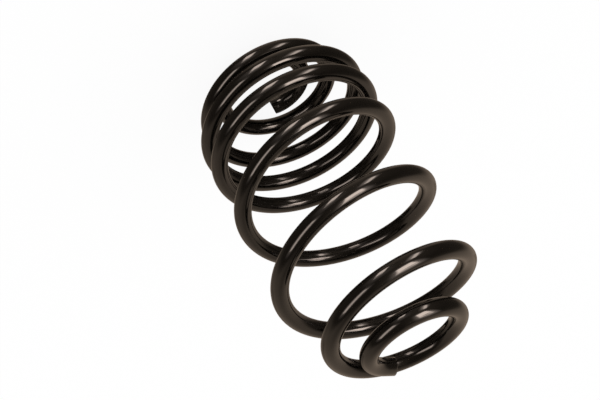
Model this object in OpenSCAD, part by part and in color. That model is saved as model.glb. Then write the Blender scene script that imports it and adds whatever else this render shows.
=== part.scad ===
// Suspension spring: one round steel bar wound into a barrel-shaped coil.
// It stands on its lower end. Both ends are wound small and flat, so that they
// nest in the spring seats. Above the lower end the turns lie close together,
// and further up they open out, so the spring grows stiffer as it is pressed.

/* [Bar] */
// Diameter of the round bar
bar_d = 12; // [10:0.5:14]

/* [Barrel] */
// Diameter of the widest turns, measured to the middle of the bar
barrel_mean_d = 122; // [100:1:150]

/* [Lower end] */
// Growth of the coil's radius in each turn of the lower end
lower_step = 18.4; // [16:0.2:20]
// Turns that grow at that full rate
lower_spiral_turns = 1.05; // [0.8:0.05:1.2]
// Turns over which the growth dies away into the barrel
lower_blend_turns = 2; // [1:0.05:2]

/* [Upper end] */
// Diameter of the smallest turn at the top, to the middle of the bar
upper_mean_d = 55.5; // [48:0.5:70]
// Turns over which the barrel narrows to the upper end
upper_taper_turns = 2; // [1.5:0.05:2.5]
// Turns that keep the smallest diameter
upper_round_turns = 0.07; // [0.02:0.01:0.5]
// Length of bar that stays straight behind the upper cut
upper_straight = 10.5; // [2:0.5:14]

/* [Sheared ends] */
// Width of the broken edge round each cut
edge_break = 0.6; // [0.2:0.1:1.5]
// Slant of the lower cut from square: the coil's inner side is the longer
lower_cut_slant = 17; // [0:1:20]
// Slant of the upper cut from square: the coil's outer side is the longer
upper_cut_slant = 25; // [0:1:30]
// Lean of the upper cut from square: the bar's underside is the longer
upper_cut_lean = 20; // [0:1:25]

/* [Pitch] */
// Turns of the lower end that lie flat on the seat
seat_turns = 0.7; // [0.6:0.05:0.9]
// Turns over which the bar lifts off the seat
lift_turns = 0.3; // [0.1:0.05:0.5]
// Rise in each of the close turns
close_pitch = 20.7; // [16:0.1:30]
// Turns wound at the close pitch
close_turns = 2.4; // [1:0.1:4]
// Turns over which the pitch opens
opening_turns = 1.5; // [0.5:0.1:2.5]
// Rise in each of the open turns
open_pitch = 65.2; // [40:0.1:80]
// Turns wound at the open pitch
open_turns = 0.55; // [0.1:0.05:2]
// Turns over which the pitch dies away towards the top
closing_turns = 2.45; // [1.5:0.05:3]
// Turns of the upper end that lie flat
top_turns = 0.03; // [0:0.01:0.3]

/* [Smoothness] */
// Sides of the bar's cross-section
bar_sides = 16; // [12:4:16]
// Cross-sections in each turn
rings_per_turn = 44; // [28:4:44]

/* [Hidden] */
steel_black = "#1d1b1a";

bar_r = bar_d / 2;
barrel_r = barrel_mean_d / 2;
upper_r = upper_mean_d / 2;

// Turn counts along the bar from the lower cut, where each change starts
lift_start = seat_turns;
close_start = lift_start + lift_turns;
opening_start = close_start + close_turns;
open_start = opening_start + opening_turns;
closing_start = open_start + open_turns;
total_turns = closing_start + closing_turns + top_turns;
taper_start = total_turns - upper_round_turns - upper_taper_turns;
straight_start = total_turns - atan(upper_straight / upper_r) / 360;

// Turns at the upper end in which the slanted cut could reach a cross-section
upper_cut_reach = bar_r * norm([tan(upper_cut_slant), tan(upper_cut_lean)]);
upper_cut_turns = 1.1 * upper_cut_reach / (1 - bar_r / upper_r) / (2 * PI * upper_r);

function clamp01(u) = min(max(u, 0), 1);

// Smooth change from 0 to 1 while u goes from 0 to 1
function ease(u) = let (v = clamp01(u)) v * v * (3 - 2 * v);

// Running total of ease(u): what a rate that eases in has added up to
function ease_total(u) = let (v = clamp01(u)) v ^ 3 - v ^ 4 / 2 + max(u - 1, 0);

// What a rate change has added after t turns, when it eases in from start
function gained(t, start, turns, rate) = rate * turns * ease_total((t - start) / turns);

// Height of the bar's middle line above its place in the lower seat
function rise(t) =
    gained(t, lift_start, lift_turns, close_pitch)
    + gained(t, opening_start, opening_turns, open_pitch - close_pitch)
    - gained(t, closing_start, closing_turns, open_pitch);

// How much smaller than the barrel the lower end is: it shrinks towards the cut
function lower_inset(t) =
    gained(-t, -lower_spiral_turns - lower_blend_turns, lower_blend_turns, lower_step);

// How much smaller than the barrel the upper end is
function upper_inset(t) = (barrel_r - upper_r) * ease((t - taper_start) / upper_taper_turns);

// Radius of the coil, to the bar's middle. A straight end runs off its circle.
function coil_r(t) =
    (barrel_r - lower_inset(t) - upper_inset(t)) / cos(360 * max(t - straight_start, 0));

function bar_middle(t) =
    [coil_r(t) * cos(360 * t), coil_r(t) * sin(360 * t), bar_r + rise(t)];

function unit(v) = v / norm(v);

// Direction of the bar, from two points close together along it
function bar_direction(t) = unit(bar_middle(t + 0.0005) - bar_middle(t - 0.0005));

// One cross-section of the bar: a circle of radius r round its middle line. It is
// pushed along the bar by shift, further on the outer side for a slant and further
// on the upper side for a lean.
function ring(t, r, shift = 0, slant = 0, lean = 0) =
    let (
        along = bar_direction(t),
        outward = unit(cross(along, [0, 0, 1])),
        up = cross(outward, along)
    )
    [for (i = [0 : bar_sides - 1])
        let (a = 360 * i / bar_sides, x = r * cos(a), y = r * sin(a))
        bar_middle(t) + x * outward + y * up
        + (shift + x * tan(slant) + y * tan(lean)) * along];

// Places of the square cross-sections between the two cuts, evenly spaced
ring_turns = [
    for (i = [1 : floor((total_turns - upper_cut_turns) * rings_per_turn)]) i / rings_per_turn
];

module swept_bar(rings) {
    n = bar_sides;
    last = (len(rings) - 1) * n;
    points = [for (each_ring = rings) each each_ring];
    walls = [for (j = [0 : len(rings) - 2], i = [0 : n - 1])
        let (a = j * n + i, b = j * n + (i + 1) % n)
        each [[a, a + n, b + n], [a, b + n, b]]];
    lower_cut = [for (i = [0 : n - 1]) i];
    upper_cut = [for (i = [n - 1 : -1 : 0]) last + i];
    polyhedron(points, concat([lower_cut], walls, [upper_cut]));
}

module coil_spring() {
    color(steel_black)
    swept_bar([
        ring(0, bar_r - edge_break, -edge_break, lower_cut_slant),
        ring(0, bar_r, 0, lower_cut_slant),
        each [for (t = ring_turns) ring(t, bar_r)],
        ring(total_turns, bar_r, 0, upper_cut_slant, -upper_cut_lean),
        ring(total_turns, bar_r - edge_break, edge_break, upper_cut_slant, -upper_cut_lean)
    ]);
}

coil_spring();
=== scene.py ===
"""Looks of the suspension spring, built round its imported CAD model.

The bar's middle line is drawn as a curve from the same sizes as the CAD source,
the round section is swept along it, and the sheared ends are then worked in
edit mode. The paint is a node material. So are the lit fronts of the lamps that
it mirrors, and the room behind them is drawn by the world's nodes.
"""

import math
from typing import NamedTuple

import bmesh
import bpy
from mathutils import Matrix, Vector


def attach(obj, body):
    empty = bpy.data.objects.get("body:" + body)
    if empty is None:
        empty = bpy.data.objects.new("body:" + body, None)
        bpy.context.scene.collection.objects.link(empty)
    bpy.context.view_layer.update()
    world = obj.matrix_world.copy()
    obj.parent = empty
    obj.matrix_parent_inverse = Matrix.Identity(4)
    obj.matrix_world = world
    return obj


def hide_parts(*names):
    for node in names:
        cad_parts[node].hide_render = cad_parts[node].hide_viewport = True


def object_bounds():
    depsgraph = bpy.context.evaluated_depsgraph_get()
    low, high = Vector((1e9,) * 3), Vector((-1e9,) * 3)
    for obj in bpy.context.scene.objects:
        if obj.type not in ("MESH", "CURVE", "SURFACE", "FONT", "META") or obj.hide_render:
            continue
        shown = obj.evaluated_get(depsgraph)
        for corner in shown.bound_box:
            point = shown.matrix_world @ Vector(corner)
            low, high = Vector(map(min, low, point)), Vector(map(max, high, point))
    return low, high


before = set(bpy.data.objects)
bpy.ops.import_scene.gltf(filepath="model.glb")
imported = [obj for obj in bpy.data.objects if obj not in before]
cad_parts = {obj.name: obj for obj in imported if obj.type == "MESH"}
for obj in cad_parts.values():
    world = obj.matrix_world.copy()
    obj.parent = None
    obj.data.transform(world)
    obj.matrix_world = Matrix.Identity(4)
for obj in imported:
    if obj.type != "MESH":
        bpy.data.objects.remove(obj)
CAD_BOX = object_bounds()

bl_info = {
    "name": "Suspension Spring",
    "version": (1, 0, 0),
    "blender": (4, 5, 0),
    "location": "View3D > Sidebar > Spring",
    "description": "Winds and paints a barrel-shaped suspension spring, and sets up its studio",
    "category": "Object",
}


def linear(hex_colour):
    """Linear RGBA of an opaque sRGB hex colour."""
    srgb = [int(hex_colour[i : i + 2], 16) / 255 for i in (1, 3, 5)]
    rgb = [c / 12.92 if c <= 0.04045 else ((c + 0.055) / 1.055) ** 2.4 for c in srgb]
    return (*rgb, 1.0)


def add(tree, kind, inputs=(), **settings):
    """Adds a node. inputs gives its sockets a value, or links them to another node's output."""
    node = tree.nodes.new(kind)
    for name, value in settings.items():
        setattr(node, name, value)
    for key, value in dict(inputs).items():
        if isinstance(value, bpy.types.NodeSocket):
            tree.links.new(value, node.inputs[key])
        else:
            node.inputs[key].default_value = value
    return node


def maths(tree, operation, *values):
    """The result of a math node. Each value is a number or another node's output."""
    return add(tree, "ShaderNodeMath", dict(enumerate(values)), operation=operation).outputs[0]


def empty_tree(owner):
    """The node tree of a new material or world, emptied."""
    owner.use_nodes = True
    owner.node_tree.nodes.clear()
    return owner.node_tree


class SpringSizes(bpy.types.PropertyGroup):
    """The sizes that the bar is wound to, which are those of the CAD source, and its fineness."""

    bar_diameter: bpy.props.FloatProperty(
        name="Bar diameter", description="Diameter of the round bar",
        default=0.012, min=0.002, precision=4, unit="LENGTH")
    edge_break: bpy.props.FloatProperty(
        name="Edge break", description="Width of the broken edge round each cut",
        default=0.0006, min=0.0001, precision=4, unit="LENGTH")
    lower_cut_slant: bpy.props.FloatProperty(
        name="Lower cut slant", description="Slant of the lower cut from square, longer inside the coil",
        default=math.radians(17), min=0.0, max=math.radians(30), subtype="ANGLE")
    upper_cut_slant: bpy.props.FloatProperty(
        name="Upper cut slant", description="Slant of the upper cut from square, longer outside the coil",
        default=math.radians(25), min=0.0, max=math.radians(30), subtype="ANGLE")
    upper_cut_lean: bpy.props.FloatProperty(
        name="Upper cut lean", description="Lean of the upper cut from square, longer under the bar",
        default=math.radians(20), min=0.0, max=math.radians(30), subtype="ANGLE")
    barrel_mean_diameter: bpy.props.FloatProperty(
        name="Barrel diameter", description="Diameter of the widest turns, to the middle of the bar",
        default=0.122, min=0.02, precision=4, unit="LENGTH")
    lower_step: bpy.props.FloatProperty(
        name="Lower step", description="Growth of the radius in each turn of the lower end",
        default=0.0184, min=0.0, precision=4, unit="LENGTH")
    lower_spiral_turns: bpy.props.FloatProperty(
        name="Lower spiral turns", description="Turns that grow at the full rate",
        default=1.05, min=0.0)
    lower_blend_turns: bpy.props.FloatProperty(
        name="Lower blend turns", description="Turns over which that growth dies away",
        default=2.0, min=0.1)
    upper_mean_diameter: bpy.props.FloatProperty(
        name="Upper end diameter",
        description="Diameter of the smallest top turn, to the middle of the bar",
        default=0.0555, min=0.01, precision=4, unit="LENGTH")
    upper_taper_turns: bpy.props.FloatProperty(
        name="Upper taper turns", description="Turns over which the barrel narrows to the top",
        default=2.0, min=0.1)
    upper_round_turns: bpy.props.FloatProperty(
        name="Upper round turns", description="Turns that keep the smallest diameter",
        default=0.07, min=0.0)
    upper_straight: bpy.props.FloatProperty(
        name="Upper straight", description="Length of bar that stays straight behind the upper cut",
        default=0.0105, min=0.0, precision=4, unit="LENGTH")
    seat_turns: bpy.props.FloatProperty(
        name="Seat turns", description="Turns of the lower end that lie flat", default=0.7, min=0.0)
    lift_turns: bpy.props.FloatProperty(
        name="Lift turns", description="Turns over which the bar lifts off the seat", default=0.3, min=0.01)
    close_pitch: bpy.props.FloatProperty(
        name="Close pitch", description="Rise in each close turn",
        default=0.0207, min=0.0, precision=4, unit="LENGTH")
    close_turns: bpy.props.FloatProperty(
        name="Close turns", description="Turns wound at the close pitch", default=2.4, min=0.0)
    opening_turns: bpy.props.FloatProperty(
        name="Opening turns", description="Turns over which the pitch opens", default=1.5, min=0.1)
    open_pitch: bpy.props.FloatProperty(
        name="Open pitch", description="Rise in each open turn",
        default=0.0652, min=0.0, precision=4, unit="LENGTH")
    open_turns: bpy.props.FloatProperty(
        name="Open turns", description="Turns wound at the open pitch", default=0.55, min=0.0)
    closing_turns: bpy.props.FloatProperty(
        name="Closing turns", description="Turns over which the pitch dies away at the top",
        default=2.45, min=0.1)
    top_turns: bpy.props.FloatProperty(
        name="Top turns", description="Turns of the upper end that lie flat", default=0.03, min=0.0)
    rings: bpy.props.IntProperty(
        name="Rings", description="Cross-sections along the whole bar", default=1400, min=200, max=1450)
    sides: bpy.props.IntProperty(
        name="Sides", description="Sides of the bar's round section, an even number",
        default=68, min=12, max=68, step=2)
    edge_steps: bpy.props.IntProperty(
        name="Edge steps", description="Faces across each broken edge", default=3, min=1, max=6)
    smooth_angle: bpy.props.FloatProperty(
        name="Smooth angle", description="Faces that meet at less than this are shaded as one surface",
        default=math.radians(40), min=0.0, max=math.radians(90), subtype="ANGLE")


class SpringFinish(bpy.types.PropertyGroup):
    """The paint and its small unevenness."""

    paint_colour: bpy.props.FloatVectorProperty(
        name="Paint colour", description="Colour of the black paint under its gloss",
        default=linear("#0a0806"), size=4, min=0, max=1, subtype="COLOR")
    roughness: bpy.props.FloatProperty(
        name="Roughness", description="Roughness of the gloss",
        default=0.07, min=0, max=1, subtype="FACTOR")
    cloud_width: bpy.props.FloatProperty(
        name="Cloud width", description="Length of the slow changes of gloss",
        default=0.035, min=0.002, precision=4, unit="LENGTH")
    thick_roughness: bpy.props.FloatProperty(
        name="Thick paint's roughness", description="Added roughness where the film dried thickest",
        default=-0.015, min=-1, max=1)
    thin_roughness: bpy.props.FloatProperty(
        name="Thin paint's roughness", description="Added roughness where the film dried thinnest",
        default=0.02, min=-1, max=1)
    peel_width: bpy.props.FloatProperty(
        name="Orange peel width", description="Distance between the dimples of the dried paint",
        default=0.0022, min=0.0005, precision=4, unit="LENGTH")
    peel_depth: bpy.props.FloatProperty(
        name="Orange peel depth", description="Depth of those dimples",
        default=0.000002, min=0, precision=6, unit="LENGTH")
    wave_width: bpy.props.FloatProperty(
        name="Wave width", description="Length of the rolled bar's soft waves under the paint",
        default=0.014, min=0.002, precision=4, unit="LENGTH")
    wave_depth: bpy.props.FloatProperty(
        name="Wave depth", description="Depth of those waves",
        default=0.00001, min=0, precision=6, unit="LENGTH")
    cut_roughness: bpy.props.FloatProperty(
        name="Cut roughness", description="Added roughness of the paint on the sheared ends",
        default=0.22, min=0, max=1)
    cut_unevenness: bpy.props.FloatProperty(
        name="Cut unevenness", description="How many times deeper the unevenness is on the sheared ends",
        default=6.0, min=1)


class SpringStudio(bpy.types.PropertyGroup):
    """The floor and the camera. The camera's values come from fitting the coil's outline."""

    floor_width: bpy.props.FloatProperty(
        name="Floor width", description="Width of the square floor", default=12.0, min=1, unit="LENGTH")
    floor_colour: bpy.props.FloatVectorProperty(
        name="Floor colour", description="Colour of the paper floor",
        default=linear("#fcfcfc"), size=4, min=0, max=1, subtype="COLOR")
    floor_glow: bpy.props.FloatProperty(
        name="Floor glow", description="Share of the floor that the camera sees as overexposed",
        default=0.92, min=0, max=1, subtype="FACTOR")
    camera_place: bpy.props.FloatVectorProperty(
        name="Camera place", description="Where the camera stands",
        default=(-0.51009, -0.09057, 0.44803), precision=4, subtype="TRANSLATION", unit="LENGTH")
    camera_turn: bpy.props.FloatVectorProperty(
        name="Camera turn", description="Its turn about X, then Y, then Z",
        default=tuple(map(math.radians, (-53.44, -23.25, 81.65))), subtype="EULER")
    lens: bpy.props.FloatProperty(
        name="Lens", description="Focal length, in millimetres", default=53.452, min=10, max=300)
    sensor_width: bpy.props.FloatProperty(
        name="Sensor width", description="Width of the camera's sensor, in millimetres", default=36, min=1)


def ease(share):
    """Smooth change from 0 to 1 while share goes from 0 to 1."""
    inside = min(max(share, 0.0), 1.0)
    return inside * inside * (3 - 2 * inside)


def gained(turn, start, turns, rate):
    """What a rate that eases in from start, over turns, has added up to at the given turn."""
    share = (turn - start) / turns
    inside = min(max(share, 0.0), 1.0)
    eased = inside**3 - inside**4 / 2  # What ease adds up to from 0 to there
    return rate * turns * (eased + max(share - 1, 0.0))


def total_turns(sizes):
    """Turns of the whole bar, from one cut to the other."""
    return (sizes.seat_turns + sizes.lift_turns + sizes.close_turns + sizes.opening_turns
            + sizes.open_turns + sizes.closing_turns + sizes.top_turns)


def bar_middle(sizes, turn):
    """The bar's middle, at a number of turns from the lower cut."""
    opening_start = sizes.seat_turns + sizes.lift_turns + sizes.close_turns
    closing_start = opening_start + sizes.opening_turns + sizes.open_turns
    rise = (gained(turn, sizes.seat_turns, sizes.lift_turns, sizes.close_pitch)
            + gained(turn, opening_start, sizes.opening_turns, sizes.open_pitch - sizes.close_pitch)
            - gained(turn, closing_start, sizes.closing_turns, sizes.open_pitch))
    barrel, upper = sizes.barrel_mean_diameter / 2, sizes.upper_mean_diameter / 2
    # The lower end is narrower than the barrel by what its growth adds up to from the blend down
    lower_inset = gained(-turn, -sizes.lower_spiral_turns - sizes.lower_blend_turns,
                         sizes.lower_blend_turns, sizes.lower_step)
    taper_start = total_turns(sizes) - sizes.upper_round_turns - sizes.upper_taper_turns
    upper_inset = (barrel - upper) * ease((turn - taper_start) / sizes.upper_taper_turns)
    # The last stretch of bar runs straight on, so it leaves the circle of the turn before it
    straight_start = total_turns(sizes) - math.atan(sizes.upper_straight / upper) / math.tau
    past = math.tau * max(turn - straight_start, 0.0)
    radius = (barrel - lower_inset - upper_inset) / math.cos(past)
    angle = math.tau * turn
    return Vector((radius * math.cos(angle), radius * math.sin(angle), sizes.bar_diameter / 2 + rise))


class Cut(NamedTuple):
    """The face of a sheared end."""

    middle: Vector
    out: Vector  # The way out along the bar there
    facing: Vector  # The way that the face looks, square to it
    reach: float  # How far its slant reaches along the bar from its middle, and some spare


def sheared_end(sizes, upper):
    """The cut at the bar's upper or lower end."""
    end, way = (total_turns(sizes), 1) if upper else (0.0, -1)
    slant = sizes.upper_cut_slant if upper else sizes.lower_cut_slant
    lean = -sizes.upper_cut_lean if upper else 0.0
    little = 0.0005  # The turns to either side that the bar's way is taken from
    along = (bar_middle(sizes, end + little) - bar_middle(sizes, end - little)).normalized()
    outward = along.cross(Vector((0, 0, 1))).normalized()
    up = outward.cross(along)
    normal = along - math.tan(slant) * outward - math.tan(lean) * up
    spare = 3 * sizes.edge_break
    # The face lies one edge break past the end of the winding, as in the CAD source
    return Cut(
        middle=bar_middle(sizes, end) + way * sizes.edge_break * along,
        out=way * along,
        facing=way * normal.normalized(),
        reach=sizes.bar_diameter / 2 * math.hypot(math.tan(slant), math.tan(lean)) + spare)


def bar_route(sizes):
    """Points along the bar's middle, with none in the reach of a cut and one beyond it."""
    end = total_turns(sizes)
    points = [bar_middle(sizes, end * ring / sizes.rings) for ring in range(sizes.rings + 1)]
    for upper in (False, True):
        cut = sheared_end(sizes, upper)
        last = -1 if upper else 0
        while (points[last] - cut.middle).dot(cut.out) > -cut.reach:
            points.pop(last)
        points.insert(len(points) if upper else 0, cut.middle + cut.out * cut.reach)
    return points


def sweep_bar(sizes):
    """The whole bar as a mesh, still open at both ends."""
    bpy.ops.object.select_all(action="DESELECT")
    bpy.ops.curve.primitive_nurbs_path_add(location=(0, 0, 0))
    bar = bpy.context.object
    bar.name = "wound_bar"
    line = bar.data
    line.splines.clear()
    route = bar_route(sizes)
    spline = line.splines.new("POLY")
    spline.points.add(len(route) - 1)
    for point, place in zip(spline.points, route):
        point.co = (*place, 1)
    line.dimensions = "3D"
    line.twist_mode = "Z_UP"
    line.bevel_depth = sizes.bar_diameter / 2
    # Blender's round section has twice as many sides as this, and four more
    line.bevel_resolution = sizes.sides // 2 - 2
    bpy.ops.object.convert(target="MESH")
    return bpy.context.object


def shear(mesh_data, sizes, upper, slot):
    """Cuts one end of the bar, whose mesh is in edit mode, and closes it with a face. That
    face and the rounded edge round it get the material in the given slot."""
    cut = sheared_end(sizes, upper)
    mesh = bmesh.from_edit_mesh(mesh_data)
    for face in mesh.faces:
        # Only the strip of faces at the open end is cut, because the next turn passes close by
        near = (face.calc_center_median() - cut.middle).length < sizes.bar_diameter
        face.select_set(near and any(edge.is_boundary for edge in face.edges))
    bmesh.update_edit_mesh(mesh_data)
    bpy.ops.mesh.bisect(plane_co=cut.middle, plane_no=cut.facing, use_fill=True, clear_outer=True)
    bpy.ops.mesh.select_all(action="SELECT")
    bpy.ops.mesh.normals_make_consistent(inside=False)

    aligned = 0.99  # The cosine from which a face looks the way of the cut
    mesh = bmesh.from_edit_mesh(mesh_data)
    for face in mesh.faces:
        face.select_set(len(face.verts) == sizes.sides and face.normal.dot(cut.facing) > aligned)
        face.material_index = slot if face.select else face.material_index
    bmesh.update_edit_mesh(mesh_data)
    bpy.ops.mesh.region_to_loop()
    bpy.ops.mesh.bevel(
        offset=sizes.edge_break, segments=sizes.edge_steps, affect="EDGES", material=slot)


def noise(tree, place, width, detail, fineness):
    """A value that changes softly over the given width. fineness is the weight of its details."""
    inputs = {"Vector": place, "Scale": 1 / width, "Detail": detail, "Roughness": fineness}
    return add(tree, "ShaderNodeTexNoise", inputs).outputs["Fac"]


def bump(tree, height, depth, **under):
    """The normal of a surface that height raises by up to depth. under may give the Normal
    that it is raised from."""
    inputs = {"Height": height, "Strength": 1.0, "Distance": depth, **under}
    return add(tree, "ShaderNodeBump", inputs).outputs["Normal"]


def paint_material(name, finish, dulling=0.0, unevenness=1.0):
    """Black cathodic dip paint, baked on a hot-rolled and shot-peened bar.

    It is a thin, glossy, nearly neutral black with a warm cast. The baked film has
    a faint orange peel, and the bar's own soft waves bend the lights' edges in it.
    dulling is added to its roughness, and unevenness multiplies the depth of both.
    """
    material = bpy.data.materials.new(name)
    tree = empty_tree(material)
    place = add(tree, "ShaderNodeTexCoord").outputs["Object"]

    # The gloss changes slowly, with the thickness of the film. Most of a noise
    # texture's values lie between 0.3 and 0.7.
    cloud = noise(tree, place, finish.cloud_width, detail=2.0, fineness=0.5)
    roughness = finish.roughness + dulling
    gloss = add(tree, "ShaderNodeMapRange",
                {"Value": cloud, "From Min": 0.3, "From Max": 0.7,
                 "To Min": roughness + finish.thick_roughness,
                 "To Max": roughness + finish.thin_roughness}).outputs["Result"]

    waves = noise(tree, place, finish.wave_width, detail=1.0, fineness=0.4)
    waved = bump(tree, waves, finish.wave_depth * unevenness)
    peel = noise(tree, place, finish.peel_width, detail=1.0, fineness=0.4)
    peeled = bump(tree, peel, finish.peel_depth * unevenness, Normal=waved)

    shader = add(tree, "ShaderNodeBsdfPrincipled",
                 {"Base Color": finish.paint_colour, "IOR": 1.5, "Roughness": gloss, "Normal": peeled})
    add(tree, "ShaderNodeOutputMaterial", {"Surface": shader.outputs["BSDF"]})
    return material


def floor_material(studio):
    """White background paper: matt and even. The camera sees it partly lit from
    within, as an overexposed studio floor, and it keeps the spring's shadow."""
    material = bpy.data.materials.new("matt_white_paper")
    tree = empty_tree(material)
    paper = add(tree, "ShaderNodeBsdfDiffuse", {"Color": studio.floor_colour})
    glow = add(tree, "ShaderNodeEmission", {"Color": linear("#ffffff"), "Strength": 1.0})
    seen = add(tree, "ShaderNodeLightPath").outputs["Is Camera Ray"]
    share = maths(tree, "MULTIPLY", seen, studio.floor_glow)
    mixed = add(tree, "ShaderNodeMixShader", {0: share, 1: paper.outputs[0], 2: glow.outputs[0]})
    add(tree, "ShaderNodeOutputMaterial", {"Surface": mixed.outputs[0]})
    return material


class Wall(NamedTuple):
    """An even patch of the room, far from the spring. All angles are in degrees."""

    name: str
    azimuth: float  # Of its middle, from +X towards +Y
    rise: float  # Of its middle, above the horizon
    width: float
    height: float
    soft_sides: float  # How wide its edges fade at its sides
    soft_ends: float  # The same at its top and bottom
    level: float  # 1 is white


class Lamp(NamedTuple):
    """A lamp's cloth front, or the glow round it. It faces the spring's middle."""

    name: str
    azimuth: float  # Of its middle, from +X towards +Y, in degrees
    rise: float  # Of its middle, above the horizon, in degrees
    roll: float  # Its turn about its middle, in degrees
    distance: float  # From the spring's middle, in metres
    width: float  # This and the next three are also in metres
    height: float
    soft_sides: float
    soft_ends: float
    level: float  # 1 is white


# The values of the room and the lamps were fitted to what the gloss mirrors in the photo, by a
# program that isn't handed in, and were then rounded
ROOM_LEVEL = 0.11
ROOM_TINT = "#ffe5cc"
LAMP_TINT = "#ffebdd"

# The room's walls and floor, which the gloss mirrors as brown greys. Each covers those before it.
WALLS = (
    Wall("back_wall", azimuth=-12, rise=15.5, width=145, height=85,
         soft_sides=24, soft_ends=59, level=0.6),
    Wall("back_floor", azimuth=-9, rise=-48.5, width=93, height=93,
         soft_sides=6, soft_ends=7, level=0.36),
    Wall("side_floor", azimuth=79.5, rise=-63.5, width=228, height=31,
         soft_sides=14, soft_ends=14, level=0.42),
    Wall("front_floor", azimuth=161.5, rise=-88.5, width=206, height=43,
         soft_sides=6, soft_ends=53, level=0.55),
    Wall("between_strips", azimuth=152, rise=1, width=22, height=166,
         soft_sides=90, soft_ends=30, level=0.52),
    Wall("back_ceiling", azimuth=31, rise=60.5, width=46, height=44,
         soft_sides=90, soft_ends=89, level=0.78),
    Wall("dark_corner", azimuth=-67.5, rise=-65.5, width=164, height=27,
         soft_sides=40, soft_ends=18, level=0.06),
)
# Two softboxes and two strip lamps, each with the glow that it throws round itself behind it
LAMPS = (
    Lamp("lower_softbox", azimuth=-133.5, rise=27, roll=18.5, distance=0.8,
         width=0.54, height=0.2, soft_sides=0.05, soft_ends=0.01, level=6.5),
    Lamp("lower_softbox_glow", azimuth=-133.5, rise=26.5, roll=15, distance=0.802,
         width=0.57, height=0.33, soft_sides=0.35, soft_ends=0.22, level=2.1),
    Lamp("upper_strip", azimuth=142.7, rise=-6, roll=-13, distance=0.6,
         width=0.068, height=0.335, soft_sides=0.035, soft_ends=0.015, level=9.4),
    Lamp("upper_strip_glow", azimuth=144, rise=-7.3, roll=-17, distance=0.602,
         width=0.11, height=0.29, soft_sides=0.13, soft_ends=0.39, level=6.0),
    Lamp("lower_strip", azimuth=-171.5, rise=-21, roll=-13, distance=0.54,
         width=0.124, height=0.325, soft_sides=0.03, soft_ends=0.03, level=10.2),
    Lamp("lower_strip_glow", azimuth=-168.5, rise=-12.5, roll=9.5, distance=0.542,
         width=0.18, height=0.49, soft_sides=0.36, soft_ends=0.25, level=1.0),
    Lamp("upper_softbox", azimuth=140.5, rise=53.5, roll=-53, distance=0.48,
         width=0.3, height=0.143, soft_sides=0.02, soft_ends=0.03, level=14.5),
    Lamp("upper_softbox_glow", azimuth=135.5, rise=56, roll=-47, distance=0.482,
         width=0.38, height=0.127, soft_sides=0.28, soft_ends=0.19, level=6.0),
)


def soft_share(tree, *ways):
    """1 inside a soft-edged rectangle and 0 outside. Each way is the socket of a place,
    measured from the rectangle's middle, with its whole size and how wide its edge fades."""
    shares = []
    for place, size, soft in ways:
        shares.append(add(tree, "ShaderNodeMapRange",
                          {"Value": maths(tree, "ABSOLUTE", place), "From Min": (size + soft) / 2,
                           "From Max": (size - soft) / 2, "To Min": 0.0, "To Max": 1.0},
                          interpolation_type="SMOOTHSTEP").outputs[0])
    return maths(tree, "MULTIPLY", *shares)


def room_colour(tree):
    """The colour that a glossy ray meets behind the lamps: a dim room and its paler walls."""

    def tinted(level):
        return [c * level for c in linear(ROOM_TINT)[:3]] + [1.0]

    direction = add(tree, "ShaderNodeTexCoord").outputs["Generated"]
    colour = add(tree, "ShaderNodeRGB").outputs[0]
    colour.default_value = tinted(ROOM_LEVEL)
    height = add(tree, "ShaderNodeSeparateXYZ", {0: direction}).outputs["Z"]
    elevation = maths(tree, "ARCSINE", height)
    for wall in WALLS:
        turned = add(tree, "ShaderNodeVectorRotate",
                     {"Vector": direction, "Angle": -math.radians(wall.azimuth)},
                     rotation_type="Z_AXIS")
        parts = add(tree, "ShaderNodeSeparateXYZ", {0: turned.outputs[0]}).outputs
        across = maths(tree, "ARCTAN2", parts["Y"], parts["X"])
        up = maths(tree, "SUBTRACT", elevation, math.radians(wall.rise))
        share = soft_share(
            tree, (across, math.radians(wall.width), math.radians(wall.soft_sides)),
            (up, math.radians(wall.height), math.radians(wall.soft_ends)))
        # A mix node takes its two colours at sockets 6 and 7, and gives the mixed one at output 2
        colour = add(tree, "ShaderNodeMix", {0: share, 6: colour, 7: tinted(wall.level)},
                     data_type="RGBA").outputs[2]
    return colour


def lamp_material(lamp):
    """White nylon, lit from behind, whose light fades out towards its edges."""
    material = bpy.data.materials.new("lit_nylon_" + lamp.name)
    # Only mirrored rays meet it, so it isn't sampled as a light
    material.cycles.emission_sampling = "NONE"
    tree = empty_tree(material)
    place = add(tree, "ShaderNodeTexCoord").outputs["Object"]
    parts = add(tree, "ShaderNodeSeparateXYZ", {0: place}).outputs
    share = soft_share(tree, (parts["X"], lamp.width, lamp.soft_sides),
                       (parts["Y"], lamp.height, lamp.soft_ends))
    light = add(tree, "ShaderNodeEmission", {"Color": linear(LAMP_TINT), "Strength": lamp.level})
    clear = add(tree, "ShaderNodeBsdfTransparent")
    mixed = add(tree, "ShaderNodeMixShader", {0: share, 1: clear.outputs[0], 2: light.outputs[0]})
    add(tree, "ShaderNodeOutputMaterial", {"Surface": mixed.outputs[0]})
    return material


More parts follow.
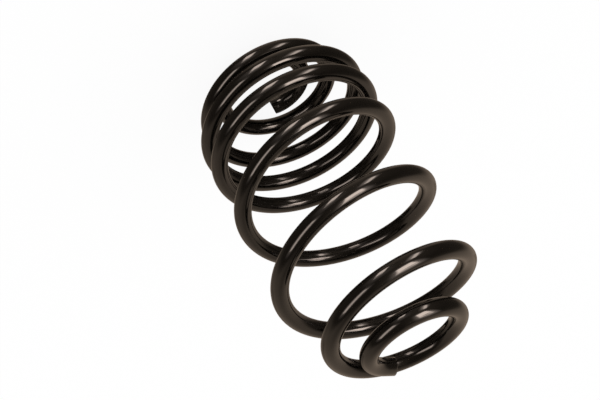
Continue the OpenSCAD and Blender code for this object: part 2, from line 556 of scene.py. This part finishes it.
def hang_lamp(lamp, middle):
    """A lamp's panel, facing the spring's middle. Only the gloss mirrors it."""
    turn, rise, roll = (math.radians(angle) for angle in (lamp.azimuth, lamp.rise, lamp.roll))
    away = Vector((math.cos(turn), math.sin(turn), math.tan(rise))).normalized()
    across = Matrix.Rotation(roll, 3, away) @ Vector((-math.sin(turn), math.cos(turn), 0))
    facing = Matrix((across, away.cross(across), away)).transposed()
    bpy.ops.object.select_all(action="DESELECT")
    bpy.ops.mesh.primitive_plane_add(
        size=max(lamp.width + lamp.soft_sides, lamp.height + lamp.soft_ends),
        location=middle + away * lamp.distance, rotation=facing.to_euler())
    panel = bpy.context.object
    panel.name = lamp.name
    panel.data.materials.append(lamp_material(lamp))
    panel.visible_camera = panel.visible_diffuse = False
    panel.visible_transmission = panel.visible_shadow = False


def studio_world():
    """Even white light for all matt surfaces. The gloss mirrors the room in its place."""
    world = bpy.data.worlds.new("studio")
    tree = empty_tree(world)
    mirrors = add(tree, "ShaderNodeLightPath").outputs["Is Glossy Ray"]
    even = add(tree, "ShaderNodeBackground", {"Color": linear("#ffffff"), "Strength": 1.0})
    room = add(tree, "ShaderNodeBackground", {"Color": room_colour(tree), "Strength": 1.0})
    both = add(tree, "ShaderNodeMixShader", {0: mirrors, 1: even.outputs[0], 2: room.outputs[0]})
    add(tree, "ShaderNodeOutputWorld", {"Surface": both.outputs[0]})
    # Its light is even, so it isn't sampled as a light either
    world.cycles.sampling_method = "NONE"
    return world


def studio_camera(studio):
    """The camera, which sees the spring as the photo's did."""
    camera = bpy.data.objects.new("camera", bpy.data.cameras.new("camera"))
    camera.data.sensor_width = studio.sensor_width
    camera.data.lens = studio.lens
    camera.location = studio.camera_place
    camera.rotation_euler = studio.camera_turn
    return camera


class SPRING_OT_wind_bar(bpy.types.Operator):
    """Sweep the round bar along the coil, shear its ends and paint it"""

    bl_idname = "spring.wind_bar"
    bl_label = "Wind and Paint Bar"
    bl_options = {"REGISTER", "UNDO"}

    def execute(self, context):
        sizes, finish = context.scene.spring_sizes, context.scene.spring_finish
        bar = sweep_bar(sizes)
        paints = bar.data.materials
        paints.clear()
        paints.append(paint_material("baked_black_dip_paint", finish))
        cut_slot = len(paints)
        paints.append(paint_material(
            "black_paint_on_sheared_steel", finish, finish.cut_roughness, finish.cut_unevenness))

        bpy.ops.object.mode_set(mode="EDIT")
        for upper in (False, True):
            shear(bar.data, sizes, upper, cut_slot)
        bpy.ops.object.mode_set(mode="OBJECT")
        bpy.ops.object.shade_smooth_by_angle(angle=sizes.smooth_angle)

        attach(bar, "root")
        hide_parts("coil_spring")
        return {"FINISHED"}


class SPRING_OT_build_stage(bpy.types.Operator):
    """Set up the paper floor, the studio light and the camera"""

    bl_idname = "spring.build_stage"
    bl_label = "Build Studio"
    bl_options = {"REGISTER", "UNDO"}

    def execute(self, context):
        scene, studio = context.scene, context.scene.spring_studio
        bpy.ops.object.select_all(action="DESELECT")
        bpy.ops.mesh.primitive_plane_add(size=studio.floor_width, location=(0, 0, 0))
        floor = context.object
        floor.name = "paper_floor"
        floor.data.materials.append(floor_material(studio))
        # The gloss mirrors the lamps and the room, which go on below the floor's level
        floor.visible_glossy = False

        spring_middle = Vector((0, 0, CAD_BOX[1][2] / 2))
        for lamp in LAMPS:
            hang_lamp(lamp, spring_middle)

        scene.world = studio_world()
        scene.camera = studio_camera(studio)
        scene.collection.objects.link(scene.camera)
        scene.view_settings.view_transform = "Standard"
        return {"FINISHED"}


class SPRING_PT_sidebar(bpy.types.Panel):
    """Sizes, finish and studio of the spring"""

    bl_label = "Suspension Spring"
    bl_idname = "SPRING_PT_sidebar"
    bl_space_type = "VIEW_3D"
    bl_region_type = "UI"
    bl_category = "Spring"

    def draw(self, context):
        scene = context.scene
        for title, group, operator in (
            ("Bar", scene.spring_sizes, None),
            ("Paint", scene.spring_finish, SPRING_OT_wind_bar.bl_idname),
            ("Studio", scene.spring_studio, SPRING_OT_build_stage.bl_idname),
        ):
            box = self.layout.box()
            box.label(text=title)
            for name in group.bl_rna.properties.keys():
                if name not in ("rna_type", "name"):
                    box.prop(group, name)
            if operator:
                box.operator(operator)


CLASSES = (SpringSizes, SpringFinish, SpringStudio,
           SPRING_OT_wind_bar, SPRING_OT_build_stage, SPRING_PT_sidebar)


def register():
    for cls in CLASSES:
        bpy.utils.register_class(cls)
    bpy.types.Scene.spring_sizes = bpy.props.PointerProperty(type=SpringSizes)
    bpy.types.Scene.spring_finish = bpy.props.PointerProperty(type=SpringFinish)
    bpy.types.Scene.spring_studio = bpy.props.PointerProperty(type=SpringStudio)


def unregister():
    del bpy.types.Scene.spring_studio
    del bpy.types.Scene.spring_finish
    del bpy.types.Scene.spring_sizes
    for cls in reversed(CLASSES):
        bpy.utils.unregister_class(cls)


def main():
    register()
    bpy.ops.spring.build_stage()
    bpy.ops.spring.wind_bar()


if __name__ == "__main__":
    main()
